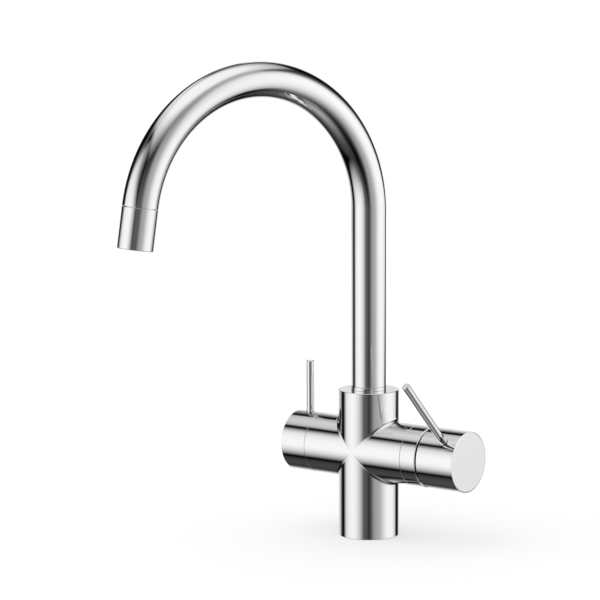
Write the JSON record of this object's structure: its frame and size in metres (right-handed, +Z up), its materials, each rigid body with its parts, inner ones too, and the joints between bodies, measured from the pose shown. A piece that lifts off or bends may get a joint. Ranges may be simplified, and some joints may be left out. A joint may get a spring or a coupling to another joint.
{
  "type": "three way filtered water tap",
  "caption": "Cross-shaped kitchen mixer tap with a swan-neck swivel spout, a side-lever mixer on one arm and a quarter-turn filtered water lever on the other.",
  "frame": {"origin": "centre of the foot's underside, on the worktop", "axes": "+Z up along the upright, +X along the arm that carries the mixer, -Y towards the user"},
  "size_m": [0.1745, 0.2468, 0.3826],
  "materials": {
    "chrome": "mirror polish",
    "brass": "machined",
    "steel": "plain",
    "rubber": "matt",
    "white_plastic": "moulded",
    "grey_plastic": "moulded",
    "ceramic": "lapped"
  },
  "bodies": {
    "tap_body": {"body_casting": "chrome", "base_seal": "rubber", "inlet_block": "brass", "spout_socket_bush": "white_plastic", "spout_well_seal": "rubber", "filter_nose_seal": "rubber", "filter_fixed_disc": "ceramic", "filter_valve_bush": "brass", "cartridge_base": "grey_plastic", "hot_seal": "rubber", "cold_seal": "rubber", "mixed_seal": "rubber", "cartridge_fixed_disc": "ceramic", "cartridge_housing": "white_plastic", "cartridge_nut": "brass", "mixer_cover_ring": "chrome"},
    "spout": {"spout_tube": "chrome", "filtered_water_pipe": "white_plastic", "spout_tail": "brass", "spout_ring_lower": "rubber", "spout_ring_upper": "rubber", "spout_clip": "steel", "glide_ring": "chrome", "outlet_sleeve": "chrome", "aerator_seal": "rubber", "aerator_insert": "white_plastic", "filtered_nozzle": "grey_plastic"},
    "filter_knob": {"filter_knob": "chrome", "filter_lever": "chrome", "filter_spindle": "brass", "filter_moving_disc": "ceramic", "spindle_seal": "rubber", "spindle_clip": "steel", "filter_grub_screw": "steel"},
    "mixer_carrier": {"cartridge_carrier": "grey_plastic", "lever_pivot_pin": "steel"},
    "mixer_handle": {"mixer_cap": "chrome", "mixer_lever": "chrome", "cartridge_stem": "steel", "mixer_grub_screw": "steel"},
    "mixer_disc": {"cartridge_moving_disc": "ceramic", "disc_driver": "grey_plastic"}
  },
  "joints": [
    {"name": "spout_swivel", "type": "hinge", "parent": "tap_body", "child": "spout", "pos_m": [0, 0, 0.1178], "axis": [0, 0, 1], "continuous": true},
    {"name": "filter_lever_turn", "type": "hinge", "parent": "tap_body", "child": "filter_knob", "pos_m": [-0.0583, 0, 0.0695], "axis": [1, 0, 0], "range_deg": [0, 90]},
    {"name": "mixer_turn", "type": "hinge", "parent": "tap_body", "child": "mixer_carrier", "pos_m": [0.052, 0, 0.0695], "axis": [1, 0, 0], "range_deg": [-45, 45]},
    {"name": "mixer_lift", "type": "hinge", "parent": "mixer_carrier", "child": "mixer_handle", "pos_m": [0.052, 0, 0.0695], "axis": [0, 0.7071, 0.7071], "range_deg": [0, 20]},
    {"name": "disc_slide", "type": "slide", "parent": "mixer_carrier", "child": "mixer_disc", "axis": [0, -0.7071, 0.7071], "range_m": [0, 0.0042]}
  ],
  "couplings": [
    {"joint": "disc_slide", "follows": "mixer_lift", "m_per_rad": 0.0115}
  ]
}
